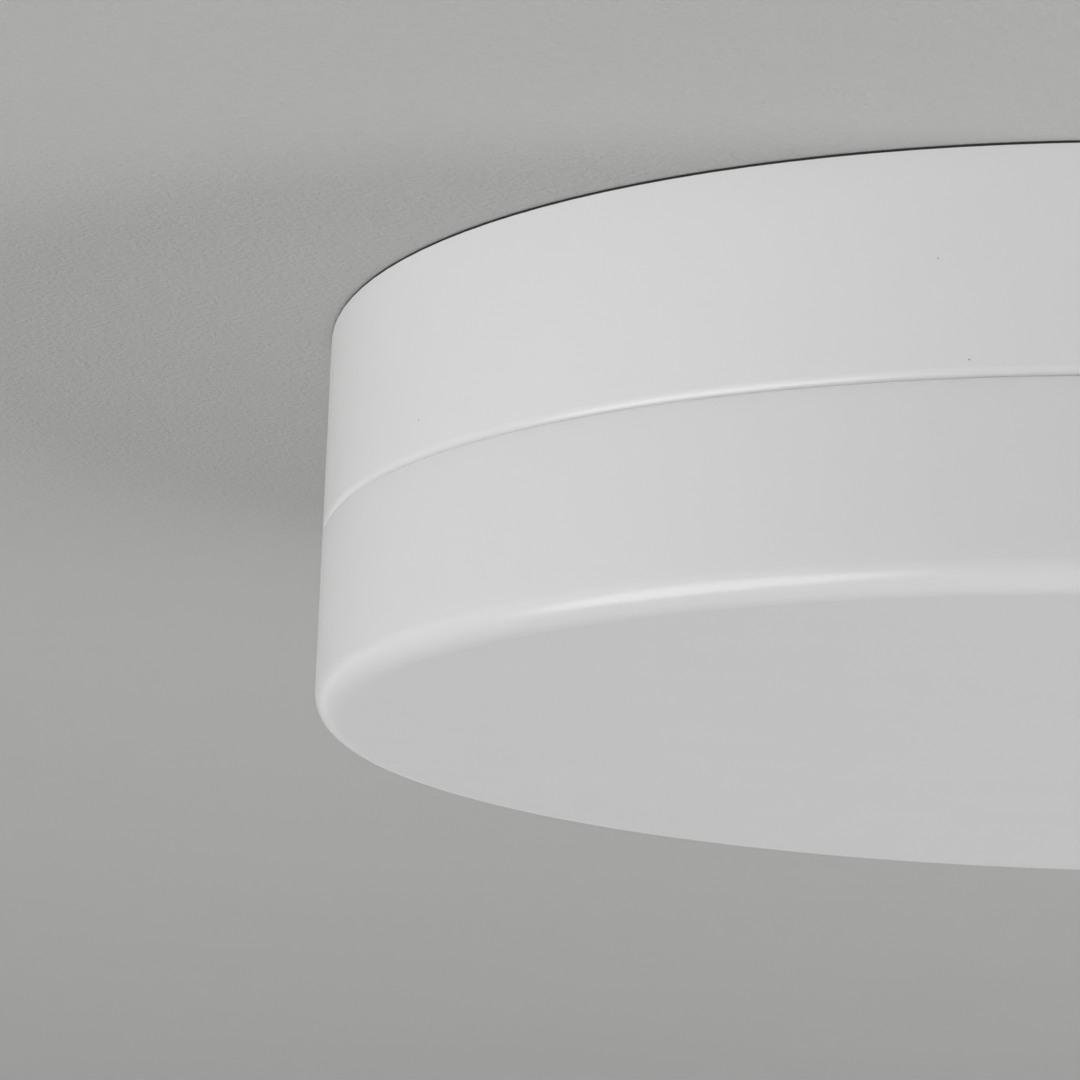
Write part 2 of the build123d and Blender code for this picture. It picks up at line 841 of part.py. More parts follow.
def make_driver_cover():
    """Lid of the driver, with a lip inside the tub's walls."""
    lid = driver_block(driver_length, driver_width, driver_rim, mounted_face)
    lid = fillet(lid.edges().filter_by(Axis.Z), driver_corner)
    outer = (driver_length - 2 * driver_wall - 2 * fit_gap, driver_width - 2 * driver_wall - 2 * fit_gap)
    low = driver_rim - driver_lid_lip
    lip = driver_block(*outer, low, driver_rim)
    lip -= driver_block(outer[0] - 2 * driver_wall, outer[1] - 2 * driver_wall, low, driver_rim)
    return lid + lip


def make_driver_board():
    """Circuit board of the driver."""
    length = driver_length - 2 * driver_wall - 2 * face_gap
    width = driver_width - 2 * driver_wall - 2 * face_gap
    return driver_block(length, width, driver_board_top - driver_board_thickness, driver_board_top)


def make_driver_transformer():
    """Ferrite core round a wound bobbin."""
    x, y = transformer_place
    top = driver_board_top + transformer_height
    core = driver_block(transformer_length, core_width, driver_board_top, top, transformer_place)
    window = (transformer_length - 3 * core_leg) / 2
    for side in (-1, 1):
        middle = x + side * (core_leg + window) / 2
        core -= driver_block(window, core_width, driver_board_top, top - core_leg / 2, (middle, y))
    wound = transformer_length - 2 * core_leg
    winding = driver_block(wound, transformer_width, driver_board_top, top - core_leg / 2, transformer_place)
    return solids_of([core, winding - core])


def lying_capacitor(radius, length, place):
    """Round capacitor that lies along X on the driver's board."""
    can = Rot(0, 90, 0) * Cylinder(radius, length)
    can = fillet(can.edges().filter_by(GeomType.CIRCLE), part_edge_radius)
    return Pos(place[0], place[1] + driver_centre_y, driver_board_top + radius) * can


def make_driver_capacitors():
    """The driver's bulk, output and film capacitors."""
    input_end = -driver_length / 2
    film_place = (input_end + film_from_input, film_y)
    film = driver_block(film_length, film_width, driver_board_top, driver_board_top + film_height, film_place)
    film = fillet(film.edges().filter_by(Axis.Z), part_edge_radius)
    bulk = lying_capacitor(bulk_radius, bulk_length, (input_end + bulk_from_input, bulk_y))
    output_x = driver_length / 2 - output_from_output_end
    output = lying_capacitor(output_radius, output_length, (output_x, output_y))
    return solids_of([film, bulk, output])


def make_driver_choke():
    """Drum choke of the driver."""
    place = (choke_from_input - driver_length / 2, choke_y + driver_centre_y)
    top = driver_board_top + choke_height
    drum = disc(choke_radius, driver_board_top, driver_board_top + choke_flange, place)
    drum += disc(choke_radius - choke_flange, driver_board_top, top, place)
    return drum + disc(choke_radius, top - choke_flange, top, place)


def make_driver_chips():
    """Rectifier, controller, diode and current-sense resistor of the driver."""
    pieces = []
    for (length, width, height), place in (
        (rectifier_size, rectifier_place),
        (controller_size, controller_place),
        (diode_size, diode_place),
        (resistor_size, resistor_place),
    ):
        pieces.append(driver_block(length, width, driver_board_top, driver_board_top + height, place))
    return solids_of(pieces)


def make_driver_screws():
    """Screws through the driver's feet."""
    seat = mounted_face - driver_foot_thickness
    return solids_of([pan_screw(place, seat, screw_length) for place in driver_screw_places()])


# ---------------------------------------------------------------- terminal block
def make_terminal_block():
    """Two-pole push-in block, its wire ports towards the cable entry."""
    middle = (0.0, terminal_centre_y)
    body = block(terminal_width, terminal_length, terminal_bottom, mounted_face, middle)
    body = fillet(body.edges(), terminal_edge)
    ear_span = terminal_width + 2 * ear_length
    body += block(ear_span, ear_width, mounted_face - ear_thickness, mounted_face, middle)
    for place in terminal_screw_places():
        body -= disc(screw_radius + face_gap, mounted_face - ear_thickness, mounted_face, place)
    cavity_length = cavity_front - cavity_back
    cavity_middle = (cavity_front + cavity_back) / 2
    for pole, x in pole_places.items():
        body -= block(pole_width, cavity_length, cavity_floor, cavity_roof, (x, cavity_middle))
        body -= port(pole_port(pole), terminal_front, cavity_front, port_radius)
        body -= port(pole_port(pole), terminal_back, cavity_back, mains_lead_radius + fit_gap)
        body -= port_mouth(pole_port(pole))
        slot = (button_stem_width + 2 * face_gap, button_stem_length + 2 * face_gap)
        body -= block(*slot, terminal_bottom, cavity_floor, (x + button_offset, button_middle_y))
    return body


def port(x, outside, inside, radius):
    """Round hole along Y through one wall of the terminal block."""
    length = abs(outside - inside)
    hole = Rot(90, 0, 0) * Cylinder(radius, length)
    return Pos(x, (outside + inside) / 2, port_height) * hole


def port_mouth(x):
    """Funnel at the outside of a supply port."""
    cone = Rot(-90, 0, 0) * Cone(port_radius, port_radius + port_chamfer, port_chamfer)
    return Pos(x, terminal_front - port_chamfer / 2, port_height) * cone


def make_terminal_contacts():
    """Brass bars on the floor of the two poles."""
    pieces = []
    for x in pole_places.values():
        left = x - pole_width / 2 + fit_gap + contact_width / 2
        middle_y = cavity_back + clamp_side_gap + contact_length / 2
        pieces.append(block(contact_width, contact_length, cavity_floor, contact_top, (left, middle_y)))
    return solids_of(pieces)


def make_clamp_spring(pole):
    """Folded leaf spring that presses a wire onto its contact bar."""
    half = clamp_thickness / 2
    roof = cavity_roof - half
    back = cavity_back + clamp_side_gap + half
    tip = (cavity_back + contact_length - half, contact_top + half + fit_gap)
    corners = [(cavity_back + contact_length, roof), (back, roof), (back, roof - clamp_back_height), tip]
    line = FilletPolyline(*corners, radius=clamp_bend)
    width = pole_width - 2 * clamp_side_gap
    strip = extrude(Plane.YZ * trace(line, clamp_thickness), width / 2, both=True)
    return Pos(pole_places[pole], 0, 0) * strip


def make_release_button(pole):
    """Button that is pushed up with a finger or screwdriver to free the wire."""
    place = (pole_places[pole] + button_offset, button_middle_y)
    flange_bottom = cavity_floor + face_gap
    head_top = terminal_bottom - button_travel - face_gap
    head_bottom = head_top - button_head_thickness
    stem_top = stem_height()
    body = block(button_head_width, button_head_length, head_bottom, head_top, place)
    body = fillet(body.edges(), button_edge)
    body += block(button_stem_width, button_stem_length, head_top - button_edge, stem_top, place)
    flange_length = button_stem_length + 2 * button_flange
    flange_top = flange_bottom + button_flange_thickness
    body += block(button_stem_width, flange_length, flange_bottom, flange_top, place)
    slot_top = head_bottom + button_slot_depth
    return body - block(button_head_width, button_slot_width, head_bottom, slot_top, place)


def stem_height():
    """Top of a button's stem, just under the leg of its clamp spring."""
    back = cavity_back + clamp_side_gap + clamp_thickness / 2
    start = cavity_roof - clamp_thickness / 2 - clamp_back_height
    tip_y = cavity_back + contact_length - clamp_thickness / 2
    tip_z = contact_top + clamp_thickness / 2 + fit_gap
    slope = (start - tip_z) / (tip_y - back)
    far_edge = button_middle_y + button_stem_length / 2
    leg_middle = start - slope * (far_edge - back)
    return leg_middle - clamp_thickness / 2 - 2 * face_gap


def make_terminal_screws():
    """Screws through the terminal block's ears."""
    seat = mounted_face - ear_thickness
    return solids_of([pan_screw(place, seat, screw_length) for place in terminal_screw_places()])


# ---------------------------------------------------------------- all nodes
nodes = {
    "housing": make_housing(),
    "ceiling_gasket": make_ceiling_gasket(),
    "cable_grommet": make_cable_grommet(),
    "terminal_block": make_terminal_block(),
    "terminal_contacts": make_terminal_contacts(),
    "terminal_screws": make_terminal_screws(),
    "driver_case": make_driver_case(),
    "driver_cover": make_driver_cover(),
    "driver_board": make_driver_board(),
    "driver_transformer": make_driver_transformer(),
    "driver_capacitors": make_driver_capacitors(),
    "driver_choke": make_driver_choke(),
    "driver_chips": make_driver_chips(),
    "driver_screws": make_driver_screws(),
    "led_tray": make_led_tray(),
    "tray_screws": make_tray_screws(),
    "tray_grommet": make_tray_grommet(),
    "led_board": make_led_board(),
    "led_packages": make_led_packages(),
    "led_windows": make_led_windows(),
    "board_screws": make_board_screws(),
    "board_connector": make_board_connector(),
    "spring_catches": make_spring_catches(),
    "catch_screws": make_catch_screws(),
    "diffuser": make_diffuser(),
    "diffuser_seal": make_diffuser_seal(),
}
for pole in pole_places:
    nodes[f"clamp_spring_{pole}"] = make_clamp_spring(pole)
    nodes[f"release_button_{pole}"] = make_release_button(pole)
    nodes[f"{pole}_lead"] = lead(f"{pole}_lead", mains_route(pole), mains_lead_radius)
for name, side in (("positive_lead", 1), ("negative_lead", -1)):
    nodes[name] = lead(name, low_voltage_route(side), low_voltage_lead_radius)

os.makedirs("parts", exist_ok=True)
for name, shape in nodes.items():
    export_step(shape, f"parts/{name}.step")
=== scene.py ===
"""The looks of a flush mount ceiling light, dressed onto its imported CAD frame."""

import math

import bpy
from mathutils import Matrix, Vector


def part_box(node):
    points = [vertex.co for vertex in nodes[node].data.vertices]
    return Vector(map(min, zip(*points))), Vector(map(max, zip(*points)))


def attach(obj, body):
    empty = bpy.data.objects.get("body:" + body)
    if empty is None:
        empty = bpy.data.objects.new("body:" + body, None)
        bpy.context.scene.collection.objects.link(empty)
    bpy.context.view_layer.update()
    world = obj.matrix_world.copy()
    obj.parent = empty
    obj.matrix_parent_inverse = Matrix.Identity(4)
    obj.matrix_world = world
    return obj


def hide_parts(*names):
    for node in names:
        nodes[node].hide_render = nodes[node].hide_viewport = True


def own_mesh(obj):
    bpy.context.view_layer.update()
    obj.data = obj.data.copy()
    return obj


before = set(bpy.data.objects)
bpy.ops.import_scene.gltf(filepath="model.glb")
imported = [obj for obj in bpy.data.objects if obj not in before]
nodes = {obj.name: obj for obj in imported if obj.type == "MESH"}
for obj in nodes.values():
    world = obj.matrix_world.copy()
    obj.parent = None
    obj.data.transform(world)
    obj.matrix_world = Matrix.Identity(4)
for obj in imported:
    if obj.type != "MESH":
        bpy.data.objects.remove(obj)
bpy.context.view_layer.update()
scene = bpy.context.scene

# ---------------------------------------------------------------- sizes, in metres and degrees
MM = 0.001
OUTER_RADIUS = 110 * MM

# camera: where the photograph was taken from, with its focal length in pixels of a 1080 frame
FRAME_PIXELS = 1080
FOCAL_PIXELS = 4763.9
SENSOR_WIDTH = 36.0
CAMERA_BACK = 5.75033 * OUTER_RADIUS
CAMERA_DROP = 1.453975 * OUTER_RADIUS
CAMERA_PITCH = 0.2108027
CAMERA_YAW = 0.1281491
CAMERA_ROLL = 0.0377158

# light board: each ring's radius, number of packages and first angle, and the connector's angle
PACKAGE_RINGS = ((60 * MM, 12, 20.0), (76 * MM, 24, 7.5))
CONNECTOR_ANGLE = 35.0

# print on the light board: each mark's reach from its middle line, and its soft edge
COPPER_BAND = (2.1 * MM, 0.12 * MM)
COPPER_GAP = (0.35 * MM, 0.05 * MM)
SOLDER_ALONG = (2.35 * MM, 0.08 * MM)
SOLDER_ACROSS = (1.2 * MM, 0.08 * MM)
FEED_ALONG = (10.0 * MM, 0.2 * MM)
FEED_ACROSS = (0.6 * MM, 0.1 * MM)
FEED_OFFSET = 1.1 * MM
SOLDER_HEIGHT = 0.8

# diffuser: its heights, starting from the frame's own box, the radii of its walls and of its edges
DIFFUSER_BOTTOM, NECK_TOP = (corner[2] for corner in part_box("diffuser"))
SHOULDER_TOP = NECK_TOP - 8.6 * MM
SHOULDER_BOTTOM = SHOULDER_TOP - 2.2 * MM
DIFFUSER_FLOOR = DIFFUSER_BOTTOM + 2.2 * MM
BEAD_BOTTOM = NECK_TOP - 2.0 * MM
DIFFUSER_INSIDE = OUTER_RADIUS - 2.4 * MM
NECK_OUTER = OUTER_RADIUS - 4.6 * MM
NECK_INNER = NECK_OUTER - 2.2 * MM
BEAD_INNER = NECK_INNER - 1.4 * MM
BOTTOM_EDGE = 3.6 * MM
INNER_EDGE = 1.2 * MM
TOP_EDGE = 0.25 * MM
BEAD_EDGE = 0.6 * MM

# facets of a turned piece, round its axis and along a round corner
SLICES = 480
ARC_STEPS = 14

# ceiling: its stipple fades over this span of Y, and shade is painted dark over the lamp, for the gap
# above its rim, up to this soft edge
CEILING_LIFT = 0.05 * MM
CEILING_RADIUS = 2.0
STIPPLE_SPAN = (0.0, 0.2)
STIPPLE_SCALE = 1100.0
STIPPLE_DEPTH = 0.36 * MM
PAINTED_GAP_SHADE_EDGE = 0.3 * MM

# floor and surround
FLOOR_DROP = 1.9
FLOOR_RADIUS = 14.0
BACKGROUND = (0.62, 0.62, 0.62)
WORLD_COLOUR = (1.0, 1.0, 1.0)
WORLD_LEVEL = 0.675

# soft lamps: name, azimuth (0 is toward -Y, + toward +X), elevation, distance, width, height, power
SOFT_LAMPS = (
    ("key_lamp", -65.0, -8.0, 1.6, 0.9, 0.9, 7.6),
    ("front_lamp", -40.0, -8.0, 1.6, 0.9, 0.9, 4.35),
    ("side_lamp", 80.0, -18.0, 1.6, 0.9, 0.9, 7.4),
    ("low_side_lamp", 84.0, -40.0, 1.6, 0.5, 0.5, 3.25),
)
# the window whose mirror image makes the bright lines along the rounded edges
WINDOW_LAMP = ("window_lamp", -62.0, -33.0, 1.6, 1.6, 0.85, 8.2)

# the sun that lights the back, and the mask above the ceiling whose hole lets it in
TOP_LEVEL = 2.4
TOP_SPREAD = 50.0
TOP_TILT = 18.0
MASK_LIFT = 0.2 * MM
MASK_HOLE = OUTER_RADIUS - 1.1 * MM

# plastic's refractive index, and the usual grain of a moulding
PLASTIC_IOR = 1.58
GRAIN = 1400.0
GRAIN_DEPTH = 0.004 * MM


# ---------------------------------------------------------------- node helpers
class Shader:
    """A material's node tree with short ways to add nodes to it."""

    def __init__(self, name):
        self.material = bpy.data.materials.new(name)
        self.material.use_nodes = True
        self.tree = self.material.node_tree
        self.tree.nodes.clear()
        self.output = self.tree.nodes.new("ShaderNodeOutputMaterial")
        self.bsdf = self.tree.nodes.new("ShaderNodeBsdfPrincipled")
        self.tree.links.new(self.bsdf.outputs["BSDF"], self.output.inputs["Surface"])
        self.place = self.tree.nodes.new("ShaderNodeTexCoord").outputs["Object"]

    def add(self, kind, **settings):
        node = self.tree.nodes.new(kind)
        for key, value in settings.items():
            setattr(node, key, value)
        return node

    def link(self, source, socket):
        self.tree.links.new(source, socket)

    def value(self, socket, source):
        """Sets a socket to a number or links it to another node's output."""
        if isinstance(source, bpy.types.NodeSocket):
            self.link(source, socket)
        else:
            socket.default_value = source

    def math(self, operation, *values):
        node = self.add("ShaderNodeMath", operation=operation)
        for socket, value in zip(node.inputs, values):
            self.value(socket, value)
        return node.outputs[0]

    def noise(self, scale, detail=2.0, roughness=0.5):
        node = self.add("ShaderNodeTexNoise")
        self.link(self.place, node.inputs["Vector"])
        node.inputs["Scale"].default_value = scale
        node.inputs["Detail"].default_value = detail
        node.inputs["Roughness"].default_value = roughness
        return node.outputs["Fac"]

    def cells(self, scale):
        node = self.add("ShaderNodeTexVoronoi", feature="F1")
        self.link(self.place, node.inputs["Vector"])
        node.inputs["Scale"].default_value = scale
        return node.outputs["Distance"]

    def span(self, source, low, high, to_low=0.0, to_high=1.0):
        """source mapped from low..high to to_low..to_high, smoothly and clamped."""
        node = self.add("ShaderNodeMapRange", interpolation_type="SMOOTHSTEP")
        for socket, value in zip(node.inputs, (source, low, high, to_low, to_high)):
            self.value(socket, value)
        return node.outputs["Result"]

    def mix(self, share, first, second):
        node = self.add("ShaderNodeMix", data_type="RGBA")
        sockets = [s for s in node.inputs if s.enabled]
        for socket, value in zip(sockets, (share, first, second)):
            self.value(socket, (*value, 1.0) if isinstance(value, tuple) else value)
        return next(s for s in node.outputs if s.enabled)

    def bump(self, height, depth, below=None):
        node = self.add("ShaderNodeBump")
        node.inputs["Strength"].default_value = 1.0
        node.inputs["Distance"].default_value = depth
        self.link(height, node.inputs["Height"])
        if below is not None:
            self.link(below, node.inputs["Normal"])
        return node.outputs["Normal"]

    def finish(self, **inputs):
        """Sets or links the shader's own sockets by name, with _ for a space."""
        for key, value in inputs.items():
            self.value(self.bsdf.inputs[key.replace("_", " ")], value)
        return self.material


def shade(colour, factor):
    return tuple(c * factor for c in colour)


def plain_moulding(name, colour, rough, grain=GRAIN, depth=GRAIN_DEPTH, mottle=60.0, wander=0.04):
    """Moulded plastic: faint mottling, a fine grain and slightly uneven gloss."""
    s = Shader(name)
    base = s.mix(s.noise(mottle, 3.0), shade(colour, 1.0 - wander), colour)
    gloss = s.span(s.noise(mottle * 4.0, 4.0), 0.3, 0.7, rough * 0.9, rough * 1.12)
    normal = s.bump(s.noise(grain, 2.0), depth)
    return s.finish(Base_Color=base, Roughness=gloss, Normal=normal)


def white_moulding(name, colour, speck_colour):
    """The housing's semi-gloss plastic, with a faint mottle and rare dark specks."""
    s = Shader(name)
    base = s.mix(s.noise(45.0, 3.0), shade(colour, 0.985), shade(colour, 1.01))
    speck = s.span(s.cells(150.0), 0.012, 0.02, 1.0, 0.0)
    base = s.mix(speck, base, speck_colour)
    gloss = s.span(s.noise(160.0, 4.0), 0.3, 0.7, 0.22, 0.24)
    coarse = s.bump(s.noise(420.0, 2.0), 0.006 * MM)
    normal = s.bump(s.noise(3200.0, 2.0), 0.002 * MM, coarse)
    return s.finish(Base_Color=base, Roughness=gloss, Normal=normal, IOR=PLASTIC_IOR)


def opal_moulding(name, colour):
    """The diffuser's satin plastic, which scatters light inside."""
    s = Shader(name)
    base = s.mix(s.noise(30.0, 3.0), shade(colour, 0.985), shade(colour, 1.01))
    gloss = s.span(s.noise(60.0, 2.0), 0.3, 0.7, 0.225, 0.235)
    coarse = s.bump(s.noise(500.0, 2.0), 0.0015 * MM)
    normal = s.bump(s.noise(4200.0, 2.0), 0.003 * MM, coarse)
    s.bsdf.subsurface_method = "RANDOM_WALK"
    return s.finish(
        Base_Color=base, Roughness=gloss, Normal=normal, Subsurface_Weight=0.5,
        Subsurface_Radius=(3.0, 2.9, 2.7), Subsurface_Scale=1.0 * MM, IOR=PLASTIC_IOR,
    )


def foam(name, colour):
    """Closed foam with dark pores."""
    s = Shader(name)
    pores = s.cells(1500.0)
    base = s.mix(s.span(pores, 0.1, 0.6), shade(colour, 0.4), colour)
    return s.finish(Base_Color=base, Roughness=0.92, Normal=s.bump(pores, 0.12 * MM))


def rubber(name, colour, rough=0.62):
    return plain_moulding(name, colour, rough, grain=2500.0, depth=0.01 * MM, wander=0.18)


def metal(name, colour, rough):
    """Plated or sheet metal with fine marks."""
    s = Shader(name)
    marks = s.noise(900.0, 4.0, 0.6)
    base = s.mix(s.noise(120.0, 3.0), shade(colour, 0.88), colour)
    gloss = s.span(marks, 0.3, 0.7, rough * 0.8, rough * 1.3)
    normal = s.bump(marks, 0.002 * MM)
    return s.finish(Base_Color=base, Roughness=gloss, Normal=normal, Metallic=1.0)


def polar(s):
    """Distance from the lamp's axis, and angle round it."""
    parts = s.add("ShaderNodeSeparateXYZ")
    s.link(s.place, parts.inputs[0])
    x, y = parts.outputs[0], parts.outputs[1]
    squares = s.math("ADD", s.math("MULTIPLY", x, x), s.math("MULTIPLY", y, y))
    return s.math("SQRT", squares), s.math("ARCTAN2", y, x)


def near(s, value, middle, reach, soft):
    """1 within reach of middle and 0 beyond it, with a soft edge."""
    away = s.math("ABSOLUTE", s.math("SUBTRACT", value, middle))
    return s.span(away, reach, reach + soft, 1.0, 0.0)


def along_ring(s, angle, ring, count, first):
    """Distance along a ring from the middle of the nearest package."""
    step = 2 * math.pi / count
    turns = s.math("DIVIDE", s.math("SUBTRACT", angle, math.radians(first)), step)
    share = s.math("SUBTRACT", s.math("FRACT", s.math("ADD", turns, 0.5)), 0.5)
    return s.math("MULTIPLY", share, step * ring)


def white_solder_mask(name, colour, copper_colour, solder_colour):
    """White solder mask over copper bands, with bright solder at the packages' ends."""
    s = Shader(name)
    radius, angle = polar(s)
    copper = solder = 0.0
    for ring, count, first in PACKAGE_RINGS:
        along = along_ring(s, angle, ring, count, first)
        band, gap = near(s, radius, ring, *COPPER_BAND), near(s, along, 0.0, *COPPER_GAP)
        copper = s.math("MAXIMUM", copper, s.math("SUBTRACT", band, gap))
        ends, width = near(s, along, 0.0, *SOLDER_ALONG), near(s, radius, ring, *SOLDER_ACROSS)
        solder = s.math("MAXIMUM", solder, s.math("MULTIPLY", ends, width))
    across = s.math("MULTIPLY", s.math("SUBTRACT", angle, math.radians(CONNECTOR_ANGLE)), radius)
    between_rings = 0.5 * (PACKAGE_RINGS[0][0] + PACKAGE_RINGS[1][0])
    reach = near(s, radius, between_rings, *FEED_ALONG)
    for side in (-FEED_OFFSET, FEED_OFFSET):
        feed = s.math("MULTIPLY", near(s, across, side, *FEED_ACROSS), reach)
        copper = s.math("MAXIMUM", copper, feed)
    base = s.mix(s.noise(70.0, 3.0), shade(colour, 0.97), colour)
    base = s.mix(copper, base, copper_colour)
    base = s.mix(solder, base, solder_colour)
    gloss = s.span(s.noise(500.0, 3.0), 0.3, 0.7, 0.28, 0.36)
    raised = s.math("ADD", copper, s.math("MULTIPLY", solder, SOLDER_HEIGHT))
    normal = s.bump(s.noise(1600.0, 2.0), GRAIN_DEPTH, s.bump(raised, 0.05 * MM))
    shine = s.math("MULTIPLY", solder, 0.85)
    return s.finish(Base_Color=base, Roughness=gloss, Normal=normal, Metallic=shine)


def insulation(name, colour):
    return plain_moulding(name, colour, 0.38, grain=1800.0, mottle=200.0, wander=0.12)


# each material slot's maker, and what the maker is given after the slot's name
MAKERS = {
    "white_moulding": (white_moulding, (0.83, 0.83, 0.83), (0.3, 0.29, 0.27)),
    "opal_moulding": (opal_moulding, (0.80, 0.80, 0.80)),
    "dark_foam": (foam, (0.03, 0.03, 0.03)),
    "grey_rubber": (rubber, (0.18, 0.18, 0.18)),
    "clear_silicone": (rubber, (0.72, 0.72, 0.70), 0.4),
    "terminal_white": (plain_moulding, (0.80, 0.80, 0.78), 0.42),
    "button_orange": (plain_moulding, (0.85, 0.25, 0.03), 0.4),
    "contact_brass": (metal, (0.80, 0.62, 0.30), 0.3),
    "zinc_steel": (metal, (0.62, 0.62, 0.60), 0.3),
    "spring_steel": (metal, (0.55, 0.55, 0.54), 0.28),
    "brown_insulation": (insulation, (0.16, 0.07, 0.03)),
    "blue_insulation": (insulation, (0.03, 0.16, 0.50)),
    "red_insulation": (insulation, (0.55, 0.03, 0.03)),
    "black_insulation": (insulation, (0.02, 0.02, 0.02)),
    "driver_moulding": (plain_moulding, (0.78, 0.78, 0.76), 0.5, 2200.0, 0.03 * MM),
    "green_laminate": (plain_moulding, (0.03, 0.22, 0.08), 0.4),
    "ferrite": (plain_moulding, (0.05, 0.05, 0.05), 0.7, GRAIN, 0.02 * MM),
    "capacitor_sleeve": (plain_moulding, (0.06, 0.06, 0.08), 0.3),
    "chip_black": (plain_moulding, (0.03, 0.03, 0.03), 0.55, GRAIN, 0.02 * MM),
    "tray_paint": (plain_moulding, (0.84, 0.84, 0.83), 0.42, 900.0, 0.02 * MM),
    "white_solder_mask": (
        white_solder_mask, (0.86, 0.86, 0.84), (0.80, 0.80, 0.765), (0.62, 0.62, 0.61),
    ),
    "package_white": (plain_moulding, (0.85, 0.85, 0.82), 0.4),
    "phosphor": (plain_moulding, (0.85, 0.72, 0.18), 0.3),
    "connector_white": (plain_moulding, (0.82, 0.82, 0.78), 0.42),
}


def dress_nodes():
    """Gives every CAD node the procedural material of its slot."""
    made = {}
    for obj in nodes.values():
        for slot in obj.material_slots:
            name = slot.material.name
            if name not in made:
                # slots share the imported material, so later ones find it under its new name
                slot.material.name = name + "_packed"
                maker, *settings = MAKERS[name]
                made[name] = made[name + "_packed"] = maker(name, *settings)
            slot.material = made[name]


# ---------------------------------------------------------------- turned pieces
def facing(start, end):
    """Unit normal on the right of a run, as (radius, height)."""
    return (Vector(end) - Vector(start)).orthogonal().normalized() * -1.0


def straight(start, end):
    """A run of an outline: its two ends, and the normal at each."""
    normal = facing(start, end)
    return Vector(start), Vector(end), normal, normal


def round_corner(before, corner, after, radius):
    """The short runs of a round corner, with the true normals of its arc."""
    into, out = facing(before, corner), facing(corner, after)
    back = (Vector(before) - Vector(corner)).normalized()
    ahead = (Vector(after) - Vector(corner)).normalized()
    half = back.angle(ahead) / 2
    centre = Vector(corner) + (back + ahead).normalized() * radius / math.sin(half)
    side = 1.0 if (Vector(corner) - centre).dot(into + out) > 0 else -1.0
    normals = [into.slerp(out, i / ARC_STEPS) for i in range(ARC_STEPS + 1)]
    points = [centre + side * radius * n for n in normals]
    return list(zip(points[:-1], points[1:], normals[:-1], normals[1:]))


def outline_runs(corners):
    """Runs round an open outline of (radius, height, edge radius) corners, solid on the left."""
    runs, start = [], corners[0][:2]
    for before, (*corner, edge), after in zip(corners, corners[1:], corners[2:]):
        arc = round_corner(before[:2], corner, after[:2], edge) if edge else []
        runs.append(straight(start, arc[0][0] if arc else corner))
        runs.extend(arc)
        start = arc[-1][1] if arc else corner
    runs.append(straight(start, corners[-1][:2]))
    return runs


def turned(name, runs):
    """A mesh turned round the lamp's axis, with the outline's own normals for smooth light."""
    turns = [2 * math.pi * i / SLICES for i in range(SLICES)]
    spokes = [(math.cos(a), math.sin(a)) for a in turns]
    points, rings = [], []
    for radius, height in [runs[0][0]] + [run[1] for run in runs]:
        spread = spokes if radius > 0 else [(0.0, 0.0)]
        rings.append([len(points) + i for i in range(len(spread))])
        points.extend((radius * c, radius * s, height) for c, s in spread)
    faces, normals = [], []
    for low, high, (_, _, first, second) in zip(rings, rings[1:], runs):
        for i in range(SLICES):
            j = (i + 1) % SLICES
            loop = [(low, i, first), (low, j, first), (high, j, second), (high, i, second)]
            if len(low) == 1:
                loop.pop(1)
            if len(high) == 1:
                loop.pop(-2)
            faces.append([ring[k % len(ring)] for ring, k, _ in loop])
            normals.extend((n[0] * spokes[k][0], n[0] * spokes[k][1], n[1]) for _, k, n in loop)
    mesh = bpy.data.meshes.new(name)
    mesh.from_pydata(points, [], faces)
    mesh.normals_split_custom_set(normals)
    obj = bpy.data.objects.new(name, mesh)
    scene.collection.objects.link(obj)
    return obj


def turn_diffuser():
    """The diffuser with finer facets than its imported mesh, as its bright edge shows every facet."""
    piece = turned("diffuser_moulding", outline_runs([
        (0.0, DIFFUSER_BOTTOM, 0.0),
        (OUTER_RADIUS, DIFFUSER_BOTTOM, BOTTOM_EDGE),
        (OUTER_RADIUS, SHOULDER_TOP, TOP_EDGE),
        (NECK_OUTER, SHOULDER_TOP, 0.0),
        (NECK_OUTER, NECK_TOP, 0.0),
        (BEAD_INNER, NECK_TOP, BEAD_EDGE),
        (BEAD_INNER, BEAD_BOTTOM, BEAD_EDGE),
        (NECK_INNER, BEAD_BOTTOM, 0.0),
        (NECK_INNER, SHOULDER_BOTTOM, 0.0),
        (DIFFUSER_INSIDE, SHOULDER_BOTTOM, 0.0),
        (DIFFUSER_INSIDE, DIFFUSER_FLOOR, INNER_EDGE),
        (0.0, DIFFUSER_FLOOR, 0.0),
    ]))
    piece.data.materials.append(nodes["diffuser"].material_slots[0].material)
    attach(piece, "diffuser")
    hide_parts("diffuser")


def bend_clamp_springs():
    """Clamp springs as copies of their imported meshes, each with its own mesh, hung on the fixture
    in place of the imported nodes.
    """
    for pole in ("live", "neutral"):
        node = f"clamp_spring_{pole}"
        spring = bpy.data.objects.new(f"clamp_leaf_{pole}", nodes[node].data.copy())
        scene.collection.objects.link(spring)
        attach(spring, "fixture")
        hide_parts(node)
        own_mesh(spring)


# ---------------------------------------------------------------- camera
def direction(azimuth, elevation):
    """Unit vector from the lamp; azimuth 0 is -Y and 90 is +X."""
    a, e = math.radians(azimuth), math.radians(elevation)
    return Vector((math.sin(a) * math.cos(e), -math.cos(a) * math.cos(e), math.sin(e)))


